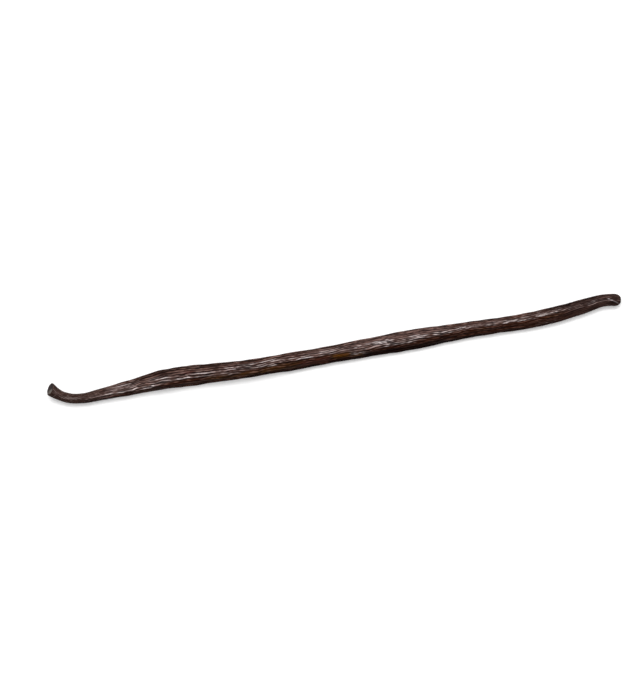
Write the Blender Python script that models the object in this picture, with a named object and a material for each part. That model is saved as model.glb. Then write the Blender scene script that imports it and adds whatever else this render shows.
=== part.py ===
"""A cured vanilla pod lying on its side, from the cut stem at -X to the blossom end at +X.

The pod is one solid. Its skin is a sphere whose rings of points are moved onto a row of
cross sections along a gently bent middle line. Each section is a rounded triangle with a
ridge on top, furrowed lengthwise as the skin of a dried pod is. Units are metres, +Z is up,
and the pod rests on the plane Z = 0.
"""

import math

import bmesh
import bpy
import numpy as np

MM = 0.001

# Driving sizes
LENGTH = 179 * MM
BODY_WIDTH = 5.8 * MM
BODY_HEIGHT = 4.6 * MM
STEM_WIDTH = 3.1 * MM
FLARE_WIDTH = 4.1 * MM
TIP_WIDTH = 3.8 * MM

# The cut end of the stem: how its face turns towards -X and tips up, and over what reach
FACE_TURN = math.radians(20)
FACE_TIP = math.radians(33)
FACE_REACH = 3.2 * MM
FACE_DISH = 0.35 * MM
FACE_SHARE = 0.86
RIM_ROUNDING = 0.22 * MM

# The blossom end
TIP_DOME = 2.1 * MM
TIP_BLUNTNESS = 0.85
TIP_SCAR = 0.45 * MM
TIP_SCAR_SHARE = 0.42

# Stations from the stem to the blossom end. Along is a share of the length, sideways is the
# middle line's offset in millimetres, width and height are shares of the body's, lift is the
# underside's height in millimetres, lean turns the ridge towards -Y in degrees, and round
# goes from 0, a ridged triangle, to 1, a plain ellipse.
STATIONS = (
    # along, sideways, width, height, lift, lean, round
    (0.0000, -0.02, FLARE_WIDTH / BODY_WIDTH, 0.86, 1.75, -4, 0.75),
    (0.0060, -1.25, 0.610, 0.74, 1.30, -4, 0.90),
    (0.0130, -2.30, STEM_WIDTH / BODY_WIDTH, 0.66, 0.95, -2, 1.00),
    (0.0255, -3.50, 0.530, 0.65, 0.55, 0, 1.00),
    (0.0510, -4.40, 0.550, 0.70, 0.22, 0, 0.85),
    (0.0850, -4.05, 0.650, 0.78, 0.02, 2, 0.45),
    (0.1350, -3.40, 0.815, 0.90, -0.14, 10, 0.12),
    (0.1920, -2.50, 1.060, 1.04, -0.20, 20, 0.00),
    (0.2450, -2.60, 1.100, 1.05, -0.20, 14, 0.00),
    (0.3150, -3.05, 1.000, 1.00, -0.18, 20, 0.00),
    (0.4200, -3.08, 0.965, 0.98, -0.18, 8, 0.00),
    (0.5250, -2.52, 0.965, 0.97, -0.18, 2, 0.00),
    (0.6300, -2.08, 1.090, 1.02, -0.20, 7, 0.00),
    (0.7350, -1.70, 0.870, 0.94, -0.16, -2, 0.00),
    (0.8400, -1.66, 0.850, 0.92, -0.14, -8, 0.05),
    (0.8930, -0.98, 0.870, 0.90, -0.10, -6, 0.12),
    (0.9440, 0.30, 0.730, 0.82, 0.02, 0, 0.35),
    (0.9680, 0.86, 0.665, 0.76, 0.05, 4, 0.55),
    (0.9850, 0.62, TIP_WIDTH / BODY_WIDTH, 0.74, 0.04, 4, 0.60),
    (1.0000, 0.00, 0.640, 0.68, 0.02, 4, 0.65),
)

# Faces of the section: the direction each one looks, in degrees up from +Y, its distance
# from the middle, and how much it turns with the ridge's lean
FACES = (
    (58, 0.78, 0.6),
    (146, 0.74, 1.0),
    (205, 0.97, 0.4),
    (270, 0.84, 0.0),
    (344, 0.95, 0.4),
)
FACE_BLEND = 6.5

# Lengthwise furrows: how many go around, depth as a share of the radius, twist in turns
# over the length, and phase in radians
FURROWS = (
    (4, 0.020, 0.35, 0.6),
    (7, 0.024, -0.22, 2.1),
    (10, 0.022, 0.30, 4.0),
    (13, 0.017, -0.15, 1.2),
)
FURROW_SHARPNESS = 0.5
STEM_SMOOTHNESS = 0.75
# Slow swells that make the furrows come and go: waves over the length, strength and phase
SWELLS = ((3.3, 0.35, 0.4), (7.9, 0.28, 2.2))
# Sideways bumps of the outline: waves over the length, size as a share, and phase
BUMPS = ((9.7, 0.014, 1.0), (17.3, 0.010, 0.2), (31.1, 0.007, 2.6))

# Mesh fineness
SIDES = 40
FACE_RINGS = 4
RIM_RINGS = 3
BODY_RINGS = 108
TIP_RINGS = 9
END_CROWDING = 0.55

POD_COLOUR = (0.058, 0.034, 0.024, 1)
POD_ROUGHNESS = 0.45


def along_stations(column, share):
    """A station column at any share of the length, as a smooth curve through the stations."""
    rows = np.array(STATIONS)
    places, values = rows[:, 0], rows[:, column]
    slopes = np.gradient(values, places)
    k = np.clip(np.searchsorted(places, share, side="right") - 1, 0, len(places) - 2)
    gap = places[k + 1] - places[k]
    t = (share - places[k]) / gap
    start = (1 + 2 * t) * (1 - t) ** 2 * values[k] + t * (1 - t) ** 2 * gap * slopes[k]
    end = t**2 * (3 - 2 * t) * values[k + 1] + t**2 * (t - 1) * gap * slopes[k + 1]
    return start + end


def ring_places():
    """Each ring's share of the length and its share of the full section, stem to tip."""
    places = []
    for i in range(FACE_RINGS):
        grow = i / (FACE_RINGS - 1)
        places.append((FACE_DISH * (1 - grow**2) / LENGTH, FACE_SHARE * grow))
    for i in range(1, RIM_RINGS + 1):
        turn = math.pi / 2 * i / RIM_RINGS
        size = FACE_SHARE + (1 - FACE_SHARE) * math.sin(turn)
        places.append((RIM_ROUNDING * (1 - math.cos(turn)) / LENGTH, size))
    first = 2 * RIM_ROUNDING / LENGTH
    last = 1 - TIP_DOME / LENGTH
    for i in range(BODY_RINGS):
        even = i / (BODY_RINGS - 1)
        crowded = (1 - math.cos(math.pi * even)) / 2
        share = even + (crowded - even) * END_CROWDING
        places.append((first + (last - first) * share, 1.0))
    for i in range(1, TIP_RINGS + 1):
        turn = math.pi / 2 * i / TIP_RINGS
        size = math.cos(turn) ** TIP_BLUNTNESS if i < TIP_RINGS else 0.0
        scar = TIP_SCAR / LENGTH * max(0.0, 1 - (size / TIP_SCAR_SHARE) ** 2)
        places.append((last + (1 - last) * math.sin(turn) - scar, size))
    return places


def section_radius(angles, lean, roundness, share):
    """The section's radius at each angle: a rounded triangle with lengthwise furrows."""
    blend = 0.0
    for direction, distance, turns in FACES:
        facing = np.cos(angles - math.radians(direction + turns * lean)) / distance
        blend = blend + np.maximum(facing, 0.0) ** FACE_BLEND
    ridged = blend ** (-1 / FACE_BLEND)
    radius = ridged + (1 - ridged) * roundness
    swell = 1.0
    for waves, strength, phase in SWELLS:
        swell += strength * math.sin(2 * math.pi * waves * share + phase)
    swell *= 1 - STEM_SMOOTHNESS * roundness
    for count, depth, twist, phase in FURROWS:
        wave = np.cos(count * angles + 2 * math.pi * twist * count * share + phase)
        radius = radius + depth * swell * (wave - FURROW_SHARPNESS * np.abs(wave))
    return radius


def outline_bump(share):
    """A small uneven widening of the pod at this share of the length."""
    bump = 1.0
    for waves, size, phase in BUMPS:
        bump += size * math.sin(2 * math.pi * waves * share + phase)
    return bump


def ring_points(share, size):
    """One ring of points around the middle line, from +Y over the top."""
    sideways, width, height, lift, lean, roundness = (
        float(along_stations(column, share)) for column in range(1, 7)
    )
    angles = np.arange(SIDES) * 2 * math.pi / SIDES
    radius = section_radius(angles, lean, roundness, share)
    across, up = radius * np.cos(angles), radius * np.sin(angles)
    across = (across - (across.max() + across.min()) / 2) / np.ptp(across)
    up = (up - up.min()) / np.ptp(up) - 0.5
    width, height = width * BODY_WIDTH * outline_bump(share), height * BODY_HEIGHT
    across, up = across * width * size, up * height * size

    step = 1e-3
    low, high = max(share - step, 0.0), min(share + step, 1.0)
    rise = float(along_stations(1, high) - along_stations(1, low)) * MM
    near_face = max(0.0, 1 - share * LENGTH / FACE_REACH)
    heading = math.atan2(rise, (high - low) * LENGTH) + FACE_TURN * near_face**2
    forward = up * math.sin(FACE_TIP * near_face)
    x = share * LENGTH - across * math.sin(heading) + forward * math.cos(heading)
    y = sideways * MM + across * math.cos(heading) + forward * math.sin(heading)
    z = lift * MM + height / 2 + up * math.cos(FACE_TIP * near_face)
    return np.stack([x, y, np.maximum(z, 0.0)], axis=1)


def make_pod(collection, material):
    """The pod's skin: a sphere's rings moved onto the pod's sections."""
    places = ring_places()
    rings = len(places) - 1
    bm = bmesh.new()
    bmesh.ops.create_uvsphere(bm, u_segments=SIDES, v_segments=rings, radius=1.0)
    points = np.array([ring_points(*place) for place in places])
    middle = (points[..., :2].max(axis=(0, 1)) + points[..., :2].min(axis=(0, 1))) / 2
    points[..., :2] -= middle
    for vert in bm.verts:
        ring = round((0.5 + math.asin(max(-1.0, min(1.0, vert.co.z))) / math.pi) * rings)
        side = round(math.atan2(vert.co.y, vert.co.x) / (2 * math.pi) * SIDES) % SIDES
        vert.co = points[ring, side]
    mesh = bpy.data.meshes.new("vanilla_pod")
    bm.to_mesh(mesh)
    bm.free()
    mesh.materials.append(material)
    mesh.shade_smooth()
    mesh.set_sharp_from_angle(angle=math.radians(50))
    collection.objects.link(bpy.data.objects.new("vanilla_pod", mesh))


def make_material():
    """Matte, slightly oily dark brown skin."""
    material = bpy.data.materials.new("pod_skin")
    material.use_nodes = True
    shader = material.node_tree.nodes["Principled BSDF"]
    shader.inputs["Base Color"].default_value = POD_COLOUR
    shader.inputs["Roughness"].default_value = POD_ROUGHNESS
    shader.inputs["Metallic"].default_value = 0.0
    material.diffuse_color = POD_COLOUR
    return material


for old in list(bpy.data.objects):
    bpy.data.objects.remove(old, do_unlink=True)
pod_collection = bpy.data.collections.new("vanilla_pod")
bpy.context.scene.collection.children.link(pod_collection)
make_pod(pod_collection, make_material())
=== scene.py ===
"""One cured vanilla pod lying on a pale floor, seen from straight above.

The pod keeps the long, bent, ridged form of its solid. Here its dried skin gets the fine
wrinkles and threads, the fold at its blossom end, its colours and its slightly oily shine.
Units are metres, and the pod lies along X with its cut stem at -X.
"""

import math

import bpy
import numpy as np
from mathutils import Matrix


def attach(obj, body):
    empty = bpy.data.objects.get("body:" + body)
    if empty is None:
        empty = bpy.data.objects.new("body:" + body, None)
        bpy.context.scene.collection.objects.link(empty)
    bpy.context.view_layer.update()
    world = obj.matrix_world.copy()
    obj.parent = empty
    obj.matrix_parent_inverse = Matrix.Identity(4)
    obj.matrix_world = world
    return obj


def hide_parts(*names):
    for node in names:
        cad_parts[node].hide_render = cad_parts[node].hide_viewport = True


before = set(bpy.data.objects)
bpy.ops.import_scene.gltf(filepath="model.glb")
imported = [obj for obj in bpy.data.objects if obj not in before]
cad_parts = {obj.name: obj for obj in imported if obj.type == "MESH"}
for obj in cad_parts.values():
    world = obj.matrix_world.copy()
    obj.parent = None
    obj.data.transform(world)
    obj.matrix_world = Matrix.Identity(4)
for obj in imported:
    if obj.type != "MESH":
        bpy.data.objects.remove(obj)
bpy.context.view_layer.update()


# The pod's body
# One long seed capsule, picked green and cured until it is dark, supple and shrunk. It is a
# single piece: a bent, ridged tube of skin, furrowed lengthwise, from stem to blossom end.

MM = 0.001
POD_LENGTH = 179 * MM
BODY_WIDTH = 5.8 * MM
BODY_HEIGHT = 4.6 * MM
STEM_WIDTH = 3.1 * MM
FLARE_WIDTH = 4.1 * MM
TIP_WIDTH = 3.8 * MM

# The cut face of the stem turns towards -X and tips up, and is a little dished.
FACE_TURN = math.radians(20)
FACE_TIP = math.radians(33)
FACE_REACH = 3.2 * MM
FACE_DISH = 0.35 * MM
FACE_SHARE = 0.86
RIM_ROUNDING = 0.22 * MM

# The blossom end is a blunt dome with a shallow scar.
TIP_DOME = 2.1 * MM
TIP_BLUNTNESS = 0.85
TIP_SCAR = 0.45 * MM
TIP_SCAR_SHARE = 0.42

# Stations along the pod: share of the length, sideways in millimetres, width and height as
# shares of the body's, lift in millimetres, lean of the ridge in degrees, and roundness.
STATIONS = np.array(
    (
        (0.0000, -0.02, FLARE_WIDTH / BODY_WIDTH, 0.86, 1.75, -4, 0.75),
        (0.0060, -1.25, 0.610, 0.74, 1.30, -4, 0.90),
        (0.0130, -2.30, STEM_WIDTH / BODY_WIDTH, 0.66, 0.95, -2, 1.00),
        (0.0255, -3.50, 0.530, 0.65, 0.55, 0, 1.00),
        (0.0510, -4.40, 0.550, 0.70, 0.22, 0, 0.85),
        (0.0850, -4.05, 0.650, 0.78, 0.02, 2, 0.45),
        (0.1350, -3.40, 0.815, 0.90, -0.14, 10, 0.12),
        (0.1920, -2.50, 1.060, 1.04, -0.20, 20, 0.00),
        (0.2450, -2.60, 1.100, 1.05, -0.20, 14, 0.00),
        (0.3150, -3.05, 1.000, 1.00, -0.18, 20, 0.00),
        (0.4200, -3.08, 0.965, 0.98, -0.18, 8, 0.00),
        (0.5250, -2.52, 0.965, 0.97, -0.18, 2, 0.00),
        (0.6300, -2.08, 1.090, 1.02, -0.20, 7, 0.00),
        (0.7350, -1.70, 0.870, 0.94, -0.16, -2, 0.00),
        (0.8400, -1.66, 0.850, 0.92, -0.14, -8, 0.05),
        (0.8930, -0.98, 0.870, 0.90, -0.10, -6, 0.12),
        (0.9440, 0.30, 0.730, 0.82, 0.02, 0, 0.35),
        (0.9680, 0.86, 0.665, 0.76, 0.05, 4, 0.55),
        (0.9850, 0.62, TIP_WIDTH / BODY_WIDTH, 0.74, 0.04, 4, 0.60),
        (1.0000, 0.00, 0.640, 0.68, 0.02, 4, 0.65),
    )
)
SIDEWAYS, WIDTH, HEIGHT, LIFT, LEAN, ROUNDNESS = range(1, 7)

# Faces of the section: direction in degrees up from +Y, distance, and share of the lean.
SECTION_FACES = (
    (58, 0.78, 0.6),
    (146, 0.74, 1.0),
    (205, 0.97, 0.4),
    (270, 0.84, 0.0),
    (344, 0.95, 0.4),
)
SECTION_BLEND = 6.5

# Furrows: count around, depth as a share of the radius, twist in turns, and phase.
FURROWS = (
    (4, 0.020, 0.35, 0.6),
    (7, 0.024, -0.22, 2.1),
    (10, 0.022, 0.30, 4.0),
    (13, 0.017, -0.15, 1.2),
)
FURROW_SHARPNESS = 0.5
STEM_SMOOTHNESS = 0.75

# Slow swells of the furrows and bumps of the outline: waves over the length, size, phase.
SWELLS = ((3.3, 0.35, 0.4), (7.9, 0.28, 2.2))
BUMPS = ((9.7, 0.014, 1.0), (17.3, 0.010, 0.2), (31.1, 0.007, 2.6))

# The skin's mesh is closer on top and at the ends, where more of it is seen.
SIDES = 176
TOP_CROWDING = 0.30
FACE_RINGS = 8
RIM_RINGS = 5
BODY_RINGS = 535
TIP_RINGS = 18
END_CROWDING = 0.35


def along_stations(column, share):
    """A station column at any share of the length, as a smooth curve through the stations."""
    places, values = STATIONS[:, 0], STATIONS[:, column]
    slopes = np.gradient(values, places)
    k = np.clip(np.searchsorted(places, share, side="right") - 1, 0, len(places) - 2)
    gap = places[k + 1] - places[k]
    t = (share - places[k]) / gap
    start = (1 + 2 * t) * (1 - t) ** 2 * values[k] + t * (1 - t) ** 2 * gap * slopes[k]
    end = t**2 * (3 - 2 * t) * values[k + 1] + t**2 * (t - 1) * gap * slopes[k + 1]
    return start + end


def ring_places():
    """Each ring's share of the length and its share of the full section, stem to tip."""
    grow = np.arange(FACE_RINGS) / (FACE_RINGS - 1)
    face = FACE_DISH * (1 - grow**2) / POD_LENGTH
    turn = math.pi / 2 * np.arange(1, RIM_RINGS + 1) / RIM_RINGS
    rim = RIM_ROUNDING * (1 - np.cos(turn)) / POD_LENGTH
    rim_sizes = FACE_SHARE + (1 - FACE_SHARE) * np.sin(turn)
    even = np.arange(BODY_RINGS) / (BODY_RINGS - 1)
    crowded = (1 - np.cos(math.pi * even)) / 2
    first, last = 2 * RIM_ROUNDING / POD_LENGTH, 1 - TIP_DOME / POD_LENGTH
    body = first + (last - first) * (even + (crowded - even) * END_CROWDING)
    turn = math.pi / 2 * np.arange(1, TIP_RINGS + 1) / TIP_RINGS
    tip_sizes = np.maximum(np.cos(turn), 0.0) ** TIP_BLUNTNESS
    tip_sizes[-1] = 0.0
    scar = TIP_SCAR / POD_LENGTH * np.maximum(0.0, 1 - (tip_sizes / TIP_SCAR_SHARE) ** 2)
    tip = last + (1 - last) * np.sin(turn) - scar
    shares = np.concatenate([face, rim, body, tip])
    sizes = np.concatenate([FACE_SHARE * grow, rim_sizes, np.ones(BODY_RINGS), tip_sizes])
    return shares, sizes


def section_radius(angles, lean, roundness, share):
    """The section's radius at each angle: a rounded triangle with lengthwise furrows."""
    blend = 0.0
    for direction, distance, turns in SECTION_FACES:
        facing = np.cos(angles - np.radians(direction + turns * lean)) / distance
        blend = blend + np.maximum(facing, 0.0) ** SECTION_BLEND
    ridged = blend ** (-1 / SECTION_BLEND)
    radius = ridged + (1 - ridged) * roundness
    swell = 1.0
    for waves, size, phase in SWELLS:
        swell = swell + size * np.sin(2 * math.pi * waves * share + phase)
    swell = swell * (1 - STEM_SMOOTHNESS * roundness)
    for count, depth, twist, phase in FURROWS:
        wave = np.cos(count * angles + 2 * math.pi * twist * count * share + phase)
        radius = radius + depth * swell * (wave - FURROW_SHARPNESS * np.abs(wave))
    return radius


def pod_points(shares, sizes, angles):
    """The smooth pod as rings of points, before the fine wrinkles."""
    share, ring_size = shares[:, None], sizes[:, None]
    sideways, width, height, lift, lean, roundness = (
        along_stations(column, share)
        for column in (SIDEWAYS, WIDTH, HEIGHT, LIFT, LEAN, ROUNDNESS)
    )
    radius = section_radius(angles[None, :], lean, roundness, share)
    across, up = radius * np.cos(angles), radius * np.sin(angles)
    middle = (across.max(1, keepdims=True) + across.min(1, keepdims=True)) / 2
    across = (across - middle) / np.ptp(across, axis=1)[:, None]
    up = (up - up.min(1, keepdims=True)) / np.ptp(up, axis=1)[:, None] - 0.5
    bump = 1.0
    for waves, size, phase in BUMPS:
        bump = bump + size * np.sin(2 * math.pi * waves * share + phase)
    across = across * width * BODY_WIDTH * bump * ring_size
    up = up * height * BODY_HEIGHT * ring_size

    step = 1e-3
    low, high = np.maximum(share - step, 0.0), np.minimum(share + step, 1.0)
    rise = (along_stations(SIDEWAYS, high) - along_stations(SIDEWAYS, low)) * MM
    near_face = np.maximum(0.0, 1 - share * POD_LENGTH / FACE_REACH)
    heading = np.arctan2(rise, (high - low) * POD_LENGTH) + FACE_TURN * near_face**2
    forward = up * np.sin(FACE_TIP * near_face)
    x = share * POD_LENGTH - across * np.sin(heading) + forward * np.cos(heading)
    y = sideways * MM + across * np.cos(heading) + forward * np.sin(heading)
    z = lift * MM + height * BODY_HEIGHT / 2 + up * np.cos(FACE_TIP * near_face)
    return np.stack([x, y, z], axis=2)


shares, sizes = ring_places()
even_angles = np.arange(SIDES) * 2 * math.pi / SIDES
angles = even_angles + TOP_CROWDING * np.cos(even_angles)
points = pod_points(shares, sizes, angles)
plan = points[..., :2].reshape(-1, 2)
points[..., :2] -= (plan.min(axis=0) + plan.max(axis=0)) / 2

share, angle = np.broadcast_arrays(shares[:, None], angles[None, :])
along = np.gradient(points, axis=0)
around = np.roll(points, -1, axis=1) - np.roll(points, 1, axis=1)
normals = np.cross(around, along)
normals /= np.maximum(np.linalg.norm(normals, axis=2, keepdims=True), 1e-12)
outward = points - points.mean(axis=1, keepdims=True)
normals *= np.sign((normals * outward).sum(axis=(1, 2)))[:, None, None]
facing_up = normals[..., 2]


# The skin's marks
# Cured skin is uneven. It shines where it is stretched over the ridge, with an oily coat and
# painted highlights, and is paler, redder or thin and amber in patches. Painted shade makes
# it nearly black along its edges. The stem is dry and dull.

# A mark's place is a share of the way along the pod, from 0 at the stem to 1 at the blossom
# end, and a share of the way across it as seen from above, from 0 at the edge towards +Y to
# 1 at the edge towards -Y. The ridge wanders across as it runs along.
RIDGE_LINE = np.array(
    (
        # along, across
        (0.00, 0.74),
        (0.04, 0.62),
        (0.10, 0.80),
        (0.12, 0.76),
        (0.15, 0.83),
        (0.18, 0.80),
        (0.23, 0.62),
        (0.32, 0.66),
        (0.38, 0.50),
        (0.42, 0.47),
        (0.46, 0.45),
        (0.50, 0.47),
        (0.54, 0.58),
        (0.62, 0.63),
        (0.67, 0.53),
        (0.76, 0.46),
        (0.88, 0.39),
        (0.95, 0.62),
        (1.00, 0.64),
    )
)

# The darker browns of the lower side, which are painted shade, come in over this soft edge,
# measured from the ridge line, and give way again by the loss where the skin turns to the
# side.
RIDGE_EDGE = (-0.06, 0.02)
LOWER_SIDE_LOSS = 0.75

# Patches of each kind: along from and to, across from and to, and strength.
# Glints are painted highlights, and the same mask gives the skin its oily coat.
GLINTS = (
    (0.091, 0.109, 0.50, 0.66, 0.50),
    (0.096, 0.152, 0.12, 0.54, 0.26),
    (0.114, 0.148, 0.60, 0.74, 1.00),
    (0.157, 0.184, 0.66, 0.80, 0.90),
    (0.171, 0.206, 0.36, 0.46, 0.50),
    (0.220, 0.245, 0.50, 0.60, 0.80),
    (0.250, 0.285, 0.42, 0.62, 0.60),
    (0.297, 0.329, 0.28, 0.46, 0.42),
    (0.297, 0.322, 0.56, 0.66, 0.30),
    (0.329, 0.359, 0.22, 0.36, 0.50),
    (0.367, 0.399, 0.20, 0.32, 0.62),
    (0.355, 0.394, 0.45, 0.54, 0.55),
    (0.407, 0.428, 0.30, 0.42, 0.40),
    (0.430, 0.455, 0.34, 0.46, 0.90),
    (0.466, 0.495, 0.26, 0.44, 0.70),
    (0.522, 0.557, 0.28, 0.44, 0.70),
    (0.525, 0.553, 0.58, 0.76, 0.60),
    (0.557, 0.596, 0.26, 0.46, 1.00),
    (0.583, 0.610, 0.50, 0.60, 0.90),
    (0.610, 0.636, 0.54, 0.64, 0.60),
    (0.618, 0.662, 0.32, 0.46, 0.70),
    (0.666, 0.706, 0.36, 0.48, 0.90),
    (0.706, 0.747, 0.26, 0.38, 0.50),
    (0.760, 0.775, 0.28, 0.44, 1.00),
    (0.792, 0.824, 0.28, 0.44, 1.00),
    (0.824, 0.843, 0.38, 0.46, 0.70),
    (0.850, 0.893, 0.25, 0.38, 0.90),
    (0.850, 0.885, 0.78, 0.90, 0.18),
    (0.887, 0.917, 0.30, 0.40, 0.25),
    (0.941, 0.955, 0.30, 0.55, 0.35),
)
PALE_PATCHES = (
    (0.096, 0.124, 0.06, 0.62, 0.42),
    (0.124, 0.235, 0.26, 0.52, 0.45),
    (0.452, 0.520, 0.12, 0.50, 0.45),
    (0.520, 0.700, 0.02, 0.34, 0.60),
)
AMBER_PATCHES = (
    (0.270, 0.430, 0.66, 0.88, 0.44),
    (0.370, 0.435, 0.54, 0.66, 0.45),
    (0.490, 0.524, 0.54, 0.78, 1.00),
    (0.524, 0.545, 0.70, 0.86, 0.60),
    (0.745, 0.760, 0.50, 0.66, 0.35),
    (0.868, 0.895, 0.45, 0.60, 0.30),
)
RED_PATCHES = (
    (0.231, 0.247, 0.28, 0.40, 1.00),
    (0.297, 0.315, 0.20, 0.50, 0.35),
    (0.432, 0.484, 0.62, 0.88, 0.42),
)
# Nearly black patches along the edges are painted shade.
SHADE_PATCHES = (
    (0.055, 0.205, 0.84, 0.97, 0.50),
    (0.150, 0.300, -0.20, 0.15, 0.55),
    (0.330, 0.480, 0.90, 1.20, 0.80),
    (0.480, 0.545, 0.86, 1.20, 0.90),
    (0.545, 0.690, 0.77, 1.20, 0.92),
    (0.690, 0.760, 0.86, 1.20, 0.80),
    (0.760, 0.850, 0.84, 1.20, 0.45),
    (0.870, 0.965, -0.20, 0.16, 0.55),
    (0.977, 0.992, 0.62, 0.92, 0.80),
)

# A patch fades over this much inside and outside its limits.
PATCH_FADE_ALONG, PATCH_FADE_ACROSS = 0.008, 0.055

# Thin bright streaks within the glints, painted highlights which slant a little towards -Y as
# they run: along from and to, across, and strength.
GLINT_STREAKS = (
    (0.132, 0.139, 0.69, 0.40),
    (0.436, 0.443, 0.41, 0.35),
    (0.764, 0.769, 0.38, 0.55),
    (0.799, 0.811, 0.35, 0.75),
    (0.858, 0.869, 0.34, 0.55),
)
STREAK_FADE = 0.0018
STREAK_WIDTH = 0.024
STREAK_SLANT = 1.5

# A faint shine, an oily coat with a painted highlight, runs all along the upper side of the
# ridge and is weaker at the blossom end.
FAINT_SHINE = 0.20
FAINT_SHINE_ABOVE_RIDGE = 0.14
FAINT_SHINE_WIDTH = 0.13
BLOSSOM_DULLNESS = 0.7

# Where each effect begins and ends its rise or its fall. First by how far the skin faces up,
# for the marks on top, the painted shade of the edges, skin that turns to the side, and the
# painted shade of the underside.
SEEN_FACING = (-0.35, 0.05)
SHADE_FACING = (0.03, 0.33)
SIDE_FACING = (0.50, 0.10)
UNDER_FACING = (0.1, -0.6)

# Then by the share of the length, for the dry stem and the duller blossom end.
STEM_STOPS = (0.07, 0.12)
BLOSSOM_STARTS = (0.85, 0.94)

# And by the size of a ring as a share of the full section, for what lies on the end faces.
CUT_FACE_EDGE = (0.80, 0.93)
SCAR_EDGE = (0.34, 0.52)
THREADS_START = (0.22, 0.75)

# The pith in the cut face is an oval, placed in shares of the full section's radius.
PITH_MIDDLE = (-0.32, 0.02)
PITH_RADII = (0.50, 0.52)
PITH_EDGE = (1.25, 0.55)

# The fine patterns lie on a straight cylinder of this radius in millimetres, and so follow
# the bends of the pod.
PATTERN_RADIUS = 2.8


def smooth_step(low, high, value):
    """0 up to low and 1 from high on, with a smooth rise between them."""
    t = np.clip((value - low) / (high - low), 0.0, 1.0)
    return t * t * (3 - 2 * t)


def between(start, end, fade, value):
    """1 between start and end, falling to 0 over the fade on either side."""
    rise = smooth_step(start - fade, start + fade, value)
    return rise * smooth_step(end + fade, end - fade, value)


def at_least(floor, mask):
    """A mask from 0 to 1, lifted so that it goes from the floor to 1."""
    return floor + (1 - floor) * mask


def patches(rows):
    """A mask over the skin that is up to each row's strength within its patch."""
    mask = np.zeros(across.shape)
    for along_from, along_to, across_from, across_to, strength in rows:
        patch = between(along_from, along_to, PATCH_FADE_ALONG, share)
        patch = patch * between(across_from, across_to, PATCH_FADE_ACROSS, across)
        mask = np.maximum(mask, strength * patch)
    return mask


right_edge = points[..., 1].min(axis=1, keepdims=True)
left_edge = points[..., 1].max(axis=1, keepdims=True)
across = (left_edge - points[..., 1]) / np.maximum(left_edge - right_edge, 1e-9)
ridge_line = np.interp(shares, RIDGE_LINE[:, 0], RIDGE_LINE[:, 1])[:, None]
below_ridge = smooth_step(ridge_line + RIDGE_EDGE[0], ridge_line + RIDGE_EDGE[1], across)

seen = smooth_step(*SEEN_FACING, facing_up)
turned_away = smooth_step(*SIDE_FACING, facing_up)
underside_shade = smooth_step(*UNDER_FACING, facing_up)
dry_stem = 1 - smooth_step(*STEM_STOPS, share)
blossom_end = smooth_step(*BLOSSOM_STARTS, share)
cut_face = (1 - smooth_step(*CUT_FACE_EDGE, sizes))[:, None] * (share < 0.5)
scar = (1 - smooth_step(*SCAR_EDGE, sizes))[:, None] * (share > 0.5)
off_pole = smooth_step(*THREADS_START, sizes)[:, None]

from_shine = (across - ridge_line + FAINT_SHINE_ABOVE_RIDGE) / FAINT_SHINE_WIDTH
faint_shine = FAINT_SHINE * np.exp(-(from_shine**2)) * (1 - BLOSSOM_DULLNESS * blossom_end)
shine = np.maximum(patches(GLINTS), faint_shine) * seen
glint_streaks = np.zeros(across.shape)
for along_from, along_to, streak_across, strength in GLINT_STREAKS:
    slant = STREAK_SLANT * (share - (along_from + along_to) / 2)
    off_streak = (across - streak_across - slant) / STREAK_WIDTH
    streak = np.exp(-(off_streak**2)) * between(along_from, along_to, STREAK_FADE, share)
    glint_streaks = np.maximum(glint_streaks, strength * streak)
pale = patches(PALE_PATCHES) * seen
amber = patches(AMBER_PATCHES) * below_ridge * seen
red = patches(RED_PATCHES) * seen
dark = patches(SHADE_PATCHES) * smooth_step(*SHADE_FACING, facing_up)

face_across, face_up = sizes[:, None] * np.cos(angle), sizes[:, None] * np.sin(angle)
from_pith = np.hypot(
    (face_across - PITH_MIDDLE[0]) / PITH_RADII[0],
    (face_up - PITH_MIDDLE[1]) / PITH_RADII[1],
)
pith = smooth_step(*PITH_EDGE, from_pith)
straightened = np.stack(
    [
        share * POD_LENGTH / MM,
        PATTERN_RADIUS * sizes[:, None] * np.cos(angle),
        PATTERN_RADIUS * sizes[:, None] * np.sin(angle),
    ],
    axis=2,
)


# The skin's wrinkles
# Drying shrinks the flesh under the skin, so the skin folds into fine lengthwise wrinkles
# that split and join, with finer threads over them and short creases across where it bends.

# Two sizes of wrinkle, which swell like pillows between narrow valleys: cells along, cells
# around, depth in millimetres, softness of the valleys, and seed.
WRINKLES = (
    (10, 9, 0.100, 0.12, 11),
    (22, 20, 0.078, 0.10, 12),
)
PILLOW_RISE, PILLOW_SINK = 2.2, 0.70
VALLEY_WIDTH = 0.09
CREST_STARTS = (0.10, 0.40)
CREST_FLOOR = 0.45
NOISE_GAIN = 1.5

# How strongly the skin is wrinkled: a level with a slow swell, more where the skin shines and
# less where the section is round. The wrinkles wander around the pod by an angle.
WRINKLE_LEVEL, WRINKLE_SWELL = 0.80, 0.55
SWELL_CELLS, SWELL_SEED = (22, 3), 6
SHINE_WRINKLES = 0.20
ROUND_SMOOTHNESS = 0.72
WRINKLE_LIMITS = (0.12, 1.7)
WANDER, WANDER_CELLS, WANDER_SEED = 0.20, (30, 4), 5

# Threads: how many around, weight, and seed. Noise that sways them or breaks them into
# dashes is in layers of cells along, cells around, weight, and step of the seed.
THREADS = ((25, 0.74, 31), (36, 0.26, 32))
THREAD_DEPTH = 0.022
THREAD_WANDER = 0.70
SWAY_LAYERS = ((24, 5, 1.0, 0), (70, 11, 0.4, 5))
DASH_LAYERS = ((115, 34, 0.75, 34), (43, 17, 0.55, 17))
DASH_EDGE = (-0.20, 0.20)
LIGHT_DASH_SEED, DARK_DASH_SEED = 41, 141
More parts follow.
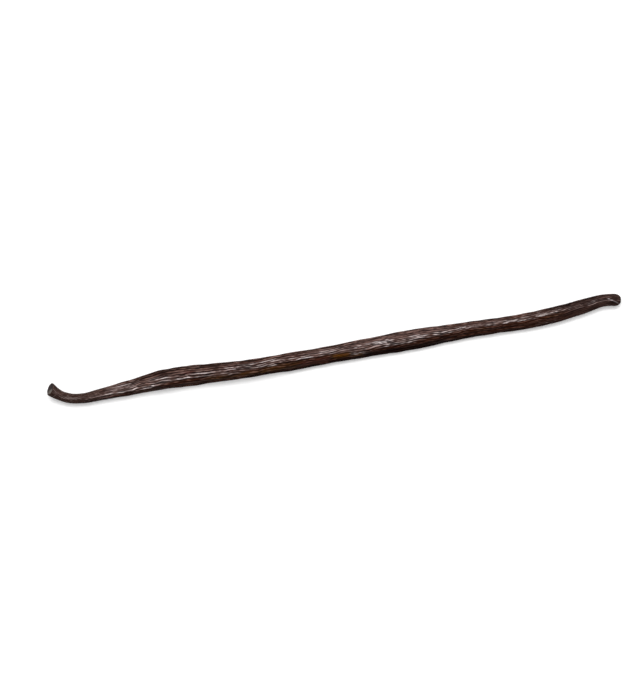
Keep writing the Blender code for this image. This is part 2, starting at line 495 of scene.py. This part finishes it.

# The skin gets a painted highlight where a thread stands up and painted shade where it sinks,
# from one height of the thread to another. Between its dashes a thread keeps the share that
# is called its floor.
LIGHT_THREAD, LIGHT_FLOOR = (-0.05, 0.45), 0.10
DARK_THREAD, DARK_FLOOR = (-0.05, -0.50), 0.45
THREAD_RELIEF_FLOOR = 0.4
THREAD_ROUND_SMOOTHNESS = 0.6
STREAK_THREAD_FLOOR = 0.5

# Creases run across, in some places only. Both have their cells along and around.
CREASE_CELLS, CREASE_SEED = (150, 9), 21
CREASE_PLACES, CREASE_PLACES_SEED = (40, 3), 22
CREASE_STARTS = (0.05, 0.45)
CREASE_DEPTH = 0.030
CREASE_WIDTH = 0.16

# The relief starts past the rim of the cut face, and fades out at the middle of both ends.
RELIEF_ALONG = (0.0, 0.004)
RELIEF_RINGS = (0.15, 0.8)


def skin_noise(share, angle, cells_along, cells_around, seed):
    """Smooth noise from about -1 to 1 over the skin, which closes up around the pod."""
    turns = np.random.default_rng(seed).uniform(
        0, 2 * math.pi, (cells_along + 2, cells_around)
    )
    x = np.clip(share, 0.0, 1.0) * cells_along
    y = np.mod(angle / (2 * math.pi), 1.0) * cells_around
    column, row = np.floor(x).astype(int), np.floor(y).astype(int)
    x, y = x - column, y - row
    fade_x = x * x * x * (x * (x * 6 - 15) + 10)
    fade_y = y * y * y * (y * (y * 6 - 15) + 10)

    def corner(step_x, step_y):
        turn = turns[column + step_x, (row + step_y) % cells_around]
        return np.cos(turn) * (x - step_x) + np.sin(turn) * (y - step_y)

    near = corner(0, 0) * (1 - fade_x) + corner(1, 0) * fade_x
    far = corner(0, 1) * (1 - fade_x) + corner(1, 1) * fade_x
    return (near * (1 - fade_y) + far * fade_y) * NOISE_GAIN


def layered_noise(layers, seed):
    """Skin noise of several sizes added up, each layer with a seed of its own."""
    return sum(
        weight * skin_noise(share, angle, cells_along, cells_around, seed + step)
        for cells_along, cells_around, weight, step in layers
    )


wander = angle + WANDER * skin_noise(share, angle, *WANDER_CELLS, WANDER_SEED)
roundness = np.clip(along_stations(ROUNDNESS, share), 0, 1)
swell = WRINKLE_LEVEL + WRINKLE_SWELL * skin_noise(share, angle, *SWELL_CELLS, SWELL_SEED)
wrinkling = swell * (1 - ROUND_SMOOTHNESS * roundness)
wrinkling = np.clip(wrinkling + SHINE_WRINKLES * shine, *WRINKLE_LIMITS)
relief = np.zeros(share.shape)
shaded_valleys = np.zeros(share.shape)
crest = np.ones(share.shape)
for cells_along, cells_around, depth, softness, seed in WRINKLES:
    cells = skin_noise(share, wander, cells_along, cells_around, seed)
    pillow = np.sqrt(cells**2 + softness**2) - softness
    relief = relief + depth * (pillow * PILLOW_RISE - PILLOW_SINK) * wrinkling
    # The valleys' mask is used below to paint shade into them.
    groove = np.exp(-((cells / VALLEY_WIDTH) ** 2))
    shaded_valleys = np.maximum(shaded_valleys, groove * np.minimum(wrinkling, 1))
    crest = crest * at_least(CREST_FLOOR, smooth_step(*CREST_STARTS, np.abs(cells)))

threads = np.zeros(share.shape)
for count, weight, seed in THREADS:
    sway = THREAD_WANDER * layered_noise(SWAY_LAYERS, seed)
    threads = threads + weight * np.sin(count * angle + 2 * math.pi * sway)
dashes = smooth_step(*DASH_EDGE, layered_noise(DASH_LAYERS, LIGHT_DASH_SEED))
gaps = smooth_step(*DASH_EDGE, layered_noise(DASH_LAYERS, DARK_DASH_SEED))
thread_highlights = smooth_step(*LIGHT_THREAD, threads) * at_least(LIGHT_FLOOR, dashes) * off_pole
dark_threads = smooth_step(*DARK_THREAD, threads) * at_least(DARK_FLOOR, gaps) * off_pole
thread_relief = THREAD_DEPTH * threads * at_least(THREAD_RELIEF_FLOOR, dashes)
relief = relief + thread_relief * (1 - THREAD_ROUND_SMOOTHNESS * roundness)

crossing = skin_noise(share, wander, *CREASE_CELLS, CREASE_SEED)
creased = smooth_step(
    *CREASE_STARTS, skin_noise(share, angle, *CREASE_PLACES, CREASE_PLACES_SEED)
)
crease = np.exp(-((crossing / CREASE_WIDTH) ** 2))
relief = relief - CREASE_DEPTH * creased * crease * wrinkling
on_skin = smooth_step(*RELIEF_ALONG, share) * smooth_step(*RELIEF_RINGS, sizes)[:, None]
relief = relief * on_skin


# The fold at the blossom end
# Where the flower dropped off, the skin has shrunk into one fold across the top of the end:
# a raised lip with a furrow below it, a painted highlight along the lip and painted shade in
# the furrow. Its two ends and its sizes are in millimetres.

FOLD_FROM = np.array((86.1, 2.75))
FOLD_TO = np.array((88.6, 1.20))
FOLD_LIP = 0.13
FOLD_FURROW = 0.24
FOLD_WIDTH = 0.24
FURROW_OFFSET = 1.6 * FOLD_WIDTH
FOLD_FACING = (0.1, 0.6)
FOLD_HIGHLIGHT_SHARPNESS = 3
FOLD_HIGHLIGHT_FLOOR = 0.25

run = FOLD_TO - FOLD_FROM
to_point = points[..., :2] / MM - FOLD_FROM
along_fold = np.clip((to_point @ run) / (run @ run), 0.0, 1.0)
across_fold = (to_point[..., 1] * run[0] - to_point[..., 0] * run[1]) / np.linalg.norm(run)
from_fold = np.linalg.norm(to_point - along_fold[..., None] * run, axis=2)
past_end = np.maximum(0.0, from_fold - np.abs(across_fold))
on_fold = smooth_step(*FOLD_FACING, facing_up) * np.exp(-(past_end**2) / FOLD_WIDTH**2)
lip = np.exp(-((across_fold / FOLD_WIDTH) ** 2))
furrow = np.exp(-(((across_fold + FURROW_OFFSET) / FOLD_WIDTH) ** 2))
relief = relief + on_fold * (FOLD_LIP * lip - FOLD_FURROW * furrow)
shaded_valleys = np.maximum(shaded_valleys * on_skin, on_fold * furrow)
fold_highlight = on_fold * lip**FOLD_HIGHLIGHT_SHARPNESS * at_least(FOLD_HIGHLIGHT_FLOOR, thread_highlights)


# The skin as one mesh
# The whole skin is grown in one piece with the pod, so it is one closed mesh: rings of points
# raised or sunk by the relief, closed by a single point at the stem and at the blossom end.

FLOOR_GAP = 0.02 * MM

points = points + normals * (relief * MM)[..., None]
points[..., 2] = np.maximum(points[..., 2], FLOOR_GAP)
rings = len(shares)
verts = [points[0].mean(axis=0)]
verts += list(points[1 : rings - 1].reshape(-1, 3))
verts.append(points[rings - 1].mean(axis=0))


def ring_vert(ring, side):
    """A point's number: the first and last rings are single points."""
    if ring == 0:
        return 0
    if ring == rings - 1:
        return len(verts) - 1
    return 1 + (ring - 1) * SIDES + side % SIDES


faces = []
for ring in range(rings - 1):
    for side in range(SIDES):
        corners = [
            ring_vert(ring, side),
            ring_vert(ring + 1, side),
            ring_vert(ring + 1, side + 1),
            ring_vert(ring, side + 1),
        ]
        faces.append(list(dict.fromkeys(corners)))
pod_mesh = bpy.data.meshes.new("vanilla_pod_skin")
pod_mesh.from_pydata([tuple(v) for v in verts], [], faces)
pod_mesh.validate()
pod_mesh.shade_smooth()
pod = bpy.data.objects.new("vanilla_pod_skin", pod_mesh)
bpy.context.scene.collection.objects.link(pod)


def add_to_skin(name, kind, values):
    """Stores one value, or one vector, for each point of the skin."""
    flat = np.concatenate([values[:1].mean(axis=1), *values[1:-1], values[-1:].mean(axis=1)])
    field = "vector" if kind == "FLOAT_VECTOR" else "value"
    pod_mesh.attributes.new(name, kind, "POINT").data.foreach_set(field, flat.ravel())


skin_masks = {
    "shaded_valleys": shaded_valleys,
    "crest": crest,
    "thread_highlights": thread_highlights,
    "dark_threads": dark_threads,
    "pith": pith,
    "below_ridge": below_ridge * (1 - LOWER_SIDE_LOSS * turned_away),
    "underside_shade": underside_shade,
    "shine": shine,
    "glint_streaks": glint_streaks * seen * at_least(STREAK_THREAD_FLOOR, thread_highlights),
    "pale": pale,
    "amber": amber,
    "dark": dark,
    "red": red,
    "fold_highlight": fold_highlight,
    "dry_stem": dry_stem,
    "blossom_end": blossom_end,
    "cut_face": cut_face,
    "scar": scar,
}
add_to_skin("skin_place", "FLOAT_VECTOR", straightened)
for name, values in skin_masks.items():
    add_to_skin(name, "FLOAT", values)


# The skin's look
# Matte dark brown, olive or amber where it is thin. Painted shade makes it darker and redder
# below the ridge and near black in the valleys, and painted highlights lie on the thread tops
# and glints, over a faint oily shine.


def linear(red, green, blue):
    """A colour of 0 to 255 as the screen shows it, as linear light."""
    shown = np.array((red, green, blue)) / 255
    light = np.where(shown <= 0.04045, shown / 12.92, ((shown + 0.055) / 1.055) ** 2.4)
    return (*light, 1.0)


UPPER_BROWN = linear(74, 50, 42)
UPPER_RED = linear(85, 52, 42)
UPPER_GREY = linear(87, 65, 58)
UPPER_PALE = linear(122, 96, 90)
SHADED_LOWER_BROWN = linear(59, 28, 13)
SHADED_LOWER_DARK = linear(41, 16, 5)
LOWER_THREAD_HIGHLIGHT = linear(102, 65, 51)
AMBER = linear(102, 60, 4)
OLIVE = linear(64, 44, 10)
RED_BROWN = linear(100, 52, 45)
SHADE_BLACK = linear(11, 2, 1)
VALLEY_SHADE = linear(12, 3, 3)
THREAD_TOP_HIGHLIGHT = linear(146, 116, 108)
GLINT_PAINT = linear(236, 217, 215)
STEM_BROWN = linear(52, 36, 31)
STEM_SPECK = linear(138, 122, 117)
BLOSSOM_UPPER = linear(44, 30, 27)
BLOSSOM_LIT_LOWER = linear(64, 46, 41)
FOLD_HIGHLIGHT = linear(206, 192, 194)
CUT_PITH = linear(118, 111, 104)
CUT_DARK = linear(62, 53, 53)
CUT_RIM = linear(42, 40, 40)

LOWER_THREAD_HIGHLIGHT_STRENGTH = 0.42
SKIN_SPECULAR = 0.02
OIL_ROUGHNESS = 0.22
OIL_IOR = 1.65
BUMP_STRENGTH = 0.6
BUMP_DEPTH = 0.1 * MM

skin = bpy.data.materials.new("pod_skin")
skin.use_nodes = True
tree = skin.node_tree
tree.nodes.clear()


def node(kind, **settings):
    """A new node of the skin's material, with its settings."""
    made = tree.nodes.new(kind)
    for setting, value in settings.items():
        setattr(made, setting, value)
    return made


def feed(value, socket):
    """Links another node's output to a socket, or sets the socket to a plain value."""
    if isinstance(value, bpy.types.NodeSocket):
        tree.links.new(value, socket)
    else:
        socket.default_value = value


def stored(name, output):
    """What the mesh stores under a name for each point of the skin."""
    return node("ShaderNodeAttribute", attribute_name=name).outputs[output]


def pattern(stretch, scale, detail, roughness=0.55):
    """Fine noise over the straightened skin. A smaller stretch makes longer marks."""
    mapping = node("ShaderNodeMapping")
    feed(skin_place, mapping.inputs["Vector"])
    feed((stretch, 1.0, 1.0), mapping.inputs["Scale"])
    made = node("ShaderNodeTexNoise")
    feed(mapping.outputs["Vector"], made.inputs["Vector"])
    feed(scale, made.inputs["Scale"])
    feed(detail, made.inputs["Detail"])
    feed(roughness, made.inputs["Roughness"])
    return made.outputs["Fac"]


def ramp(value, *stops):
    """Turns a value into a grey or a colour by stops of position and grey or colour."""
    made = node("ShaderNodeValToRGB")
    bar = made.color_ramp
    while len(bar.elements) < len(stops):
        bar.elements.new(0.5)
    for element, (position, shade) in zip(bar.elements, stops):
        element.position = position
        element.color = shade if isinstance(shade, tuple) else (shade, shade, shade, 1.0)
    feed(value, made.inputs["Fac"])
    return made.outputs["Color"]


def mix(factor, first, second):
    """The first colour where the factor is 0, and the second where it is 1."""
    made = node("ShaderNodeMix", data_type="RGBA")
    feed(factor, made.inputs[0])
    feed(first, made.inputs[6])
    feed(second, made.inputs[7])
    return made.outputs[2]


def times(first, second):
    """Two values multiplied."""
    made = node("ShaderNodeMath", operation="MULTIPLY")
    feed(first, made.inputs[0])
    feed(second, made.inputs[1])
    return made.outputs[0]


skin_place = stored("skin_place", "Vector")
where = {name: stored(name, "Fac") for name in skin_masks}

blotches = pattern(0.30, 0.55, 3.0)
lower_tints = pattern(0.25, 0.90, 2.0)
lines = pattern(0.20, 2.40, 0.5)
fine_grooves = pattern(0.11, 3.00, 1.0, 0.60)
grain = pattern(0.45, 4.20, 3.0, 0.60)
specks = pattern(0.60, 2.60, 2.0, 0.60)
pores = pattern(0.40, 11.0, 2.0, 0.60)

# The browns above and below the ridge, each darkened along fine grooves as painted shade.
upper = ramp(blotches, (0.32, UPPER_RED), (0.48, UPPER_BROWN), (0.66, UPPER_GREY))
upper = mix(where["pale"], upper, UPPER_PALE)
upper = mix(ramp(fine_grooves, (0.40, 0.80), (0.50, 0.0)), upper, VALLEY_SHADE)
# Below the ridge the browns are darker: painted shade.
shaded_lower = ramp(lower_tints, (0.35, SHADED_LOWER_DARK), (0.62, SHADED_LOWER_BROWN))
shaded_lower = mix(ramp(fine_grooves, (0.40, 0.60), (0.50, 0.0)), shaded_lower, SHADE_BLACK)
shaded_lower = mix(times(where["thread_highlights"], LOWER_THREAD_HIGHLIGHT_STRENGTH), shaded_lower, LOWER_THREAD_HIGHLIGHT)
thin_skin = ramp(where["amber"], (0.45, OLIVE), (0.85, AMBER))
thin_here = times(where["amber"], ramp(fine_grooves, (0.34, 0.45), (0.50, 1.0)))
shaded_lower = mix(thin_here, shaded_lower, thin_skin)
colour = mix(where["below_ridge"], upper, shaded_lower)

# The colours of both ends: the blossom end, darker on top and with painted light on its lower
# side, the cut face with its pith, and the scar.
blossom = mix(where["below_ridge"], BLOSSOM_UPPER, BLOSSOM_LIT_LOWER)
cut = mix(ramp(grain, (0.35, 0.35), (0.60, 1.0)), CUT_RIM, CUT_DARK)
cut = mix(times(where["pith"], ramp(grain, (0.36, 0.45), (0.56, 1.0))), cut, CUT_PITH)
cut = mix(ramp(specks, (0.40, 0.55), (0.48, 0.0)), cut, CUT_RIM)
scarred = mix(ramp(specks, (0.42, 0.0), (0.58, 1.0)), CUT_RIM, CUT_DARK)

# Marks that several patterns make together: painted highlights on the thread tops, stronger
# towards the light; painted shade in the gaps between glinting threads; painted glints;
# specks on the stem; and painted shade in the pits.
towards_light = ramp(where["below_ridge"], (0.0, 1.0), (1.0, 0.22))
lit_thread_tops = times(times(where["crest"], where["thread_highlights"]), towards_light)
glint_gap_shade = times(where["shine"], where["dark_threads"])
painted_glint_lines = times(where["shine"], ramp(lines, (0.38, 0.15), (0.52, 1.0)))
painted_glints = times(painted_glint_lines, where["thread_highlights"])
stem_specks = times(ramp(specks, (0.57, 0.0), (0.73, 1.0)), where["dry_stem"])
shaded_pits = ramp(pores, (0.36, 0.38), (0.50, 0.0))

# The layers over the browns, from the lowest up: where, how strong, and which colour.
for mask, strength, layer in (
    (where["red"], 0.70, RED_BROWN),
    (where["dry_stem"], 0.75, STEM_BROWN),
    (where["blossom_end"], 0.80, blossom),
    (where["shaded_valleys"], 0.75, VALLEY_SHADE),
    (lit_thread_tops, 0.80, THREAD_TOP_HIGHLIGHT),
    (where["dark_threads"], 0.82, VALLEY_SHADE),
    (where["underside_shade"], 0.35, SHADED_LOWER_DARK),
    (where["dark"], 0.85, SHADE_BLACK),
    (glint_gap_shade, 0.80, VALLEY_SHADE),
    (painted_glints, 1.00, GLINT_PAINT),
    (where["glint_streaks"], 1.00, GLINT_PAINT),
    (where["fold_highlight"], 0.90, FOLD_HIGHLIGHT),
    (stem_specks, 0.60, STEM_SPECK),
    (shaded_pits, 1.00, VALLEY_SHADE),
    (where["cut_face"], 1.00, cut),
    (where["scar"], 0.70, scarred),
):
    colour = mix(times(mask, strength), colour, layer)

bump_height = 0.0
for fine_pattern, weight in ((fine_grooves, 0.70), (grain, 0.45), (pores, 0.35)):
    total = node("ShaderNodeMath", operation="ADD")
    feed(bump_height, total.inputs[0])
    feed(times(fine_pattern, weight), total.inputs[1])
    bump_height = total.outputs[0]
bump = node("ShaderNodeBump")
feed(BUMP_STRENGTH, bump.inputs["Strength"])
feed(BUMP_DEPTH, bump.inputs["Distance"])
feed(bump_height, bump.inputs["Height"])

shader = node("ShaderNodeBsdfPrincipled")
feed(colour, shader.inputs["Base Color"])
feed(ramp(blotches, (0.3, 0.50), (0.7, 0.66)), shader.inputs["Roughness"])
feed(SKIN_SPECULAR, shader.inputs["Specular IOR Level"])
oily = times(where["shine"], ramp(where["thread_highlights"], (0.0, 0.15), (0.6, 1.0)))
feed(oily, shader.inputs["Coat Weight"])
feed(OIL_ROUGHNESS, shader.inputs["Coat Roughness"])
feed(OIL_IOR, shader.inputs["Coat IOR"])
feed(bump.outputs["Normal"], shader.inputs["Normal"])
output = node("ShaderNodeOutputMaterial")
feed(shader.outputs["BSDF"], output.inputs["Surface"])
pod_mesh.materials.append(skin)

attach(pod, "root")
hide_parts("vanilla_pod")


# The view
# The pod is seen from straight above, lying as it lay in the picture, whose own size in
# pixels and the pixel of the pod's middle place the camera.

PICTURE_WIDTH, PICTURE_HEIGHT = 640, 691
POD_MIDDLE_PIXEL = (335.05, 350.30)
PIXEL = 0.310 * MM
POD_ANGLE = math.radians(8.8)
POD_MID_HEIGHT = 2.3 * MM
LENS_MM, SENSOR_MM = 85, 36

picture_right = np.array((math.cos(POD_ANGLE), -math.sin(POD_ANGLE), 0.0))
picture_up = np.array((math.sin(POD_ANGLE), math.cos(POD_ANGLE), 0.0))
distance = LENS_MM / SENSOR_MM * PICTURE_HEIGHT * PIXEL
camera_data = bpy.data.cameras.new("camera")
camera_data.lens = LENS_MM
camera_data.sensor_width = SENSOR_MM
camera = bpy.data.objects.new("camera", camera_data)
camera.location = (
    -(POD_MIDDLE_PIXEL[0] - PICTURE_WIDTH / 2) * PIXEL * picture_right
    + (POD_MIDDLE_PIXEL[1] - PICTURE_HEIGHT / 2) * PIXEL * picture_up
    + np.array((0.0, 0.0, distance + POD_MID_HEIGHT))
)
camera.rotation_euler = (0.0, 0.0, -POD_ANGLE)
bpy.context.scene.collection.objects.link(camera)
bpy.context.scene.camera = camera


# The floor and the light
# A plain pale floor, a wide soft light overhead and a smaller one from the picture's top, so
# that the upper side of the pod is lit and its lower side falls into shade.

FLOOR_HALF = 3.0
FLOOR_COLOUR = (0.92, 0.92, 0.92, 1)
FLOOR_ROUGHNESS = 0.7
FLOOR_GLOW = (1.0, 0.98, 0.96, 1)
FLOOR_GLOW_STRENGTH = 0.18
ROOM_COLOUR = (0.95, 0.97, 1.0, 1)
ROOM_STRENGTH = 0.20
LIGHTS = (
    # name, place to the right, up and above in the picture, width and depth, power in watts
    ("key_light", (-0.10, 0.42, 0.72), (0.60, 0.30), 3.6),
    ("overhead_light", (0.0, 0.30, 1.10), (1.40, 1.20), 11.5),
)

floor_mesh = bpy.data.meshes.new("floor")
floor_mesh.from_pydata(
    [(x * FLOOR_HALF, y * FLOOR_HALF, 0.0) for x, y in ((-1, -1), (1, -1), (1, 1), (-1, 1))],
    [],
    [(0, 1, 2, 3)],
)
floor = bpy.data.objects.new("floor", floor_mesh)
bpy.context.scene.collection.objects.link(floor)
floor_paint = bpy.data.materials.new("floor_paint")
floor_paint.use_nodes = True
floor_shader = floor_paint.node_tree.nodes["Principled BSDF"]
floor_shader.inputs["Base Color"].default_value = FLOOR_COLOUR
floor_shader.inputs["Roughness"].default_value = FLOOR_ROUGHNESS
floor_shader.inputs["Emission Color"].default_value = FLOOR_GLOW
floor_shader.inputs["Emission Strength"].default_value = FLOOR_GLOW_STRENGTH
floor_mesh.materials.append(floor_paint)

for name, (right, up, above), (width, depth), power in LIGHTS:
    light = bpy.data.lights.new(name, "AREA")
    light.shape = "RECTANGLE"
    light.size, light.size_y = width, depth
    light.energy = power
    lamp = bpy.data.objects.new(name, light)
    spot = right * picture_right + up * picture_up + np.array((0.0, 0.0, above))
    lamp.location = spot
    x, y, z = -spot
    lamp.rotation_euler = (math.atan2(math.hypot(x, y), -z), 0.0, math.atan2(-x, y))
    bpy.context.scene.collection.objects.link(lamp)

room = bpy.data.worlds.new("room")
room.use_nodes = True
room.node_tree.nodes["Background"].inputs["Color"].default_value = ROOM_COLOUR
room.node_tree.nodes["Background"].inputs["Strength"].default_value = ROOM_STRENGTH
bpy.context.scene.world = room
bpy.context.scene.view_settings.view_transform = "Standard"

bpy.context.view_layer.update()
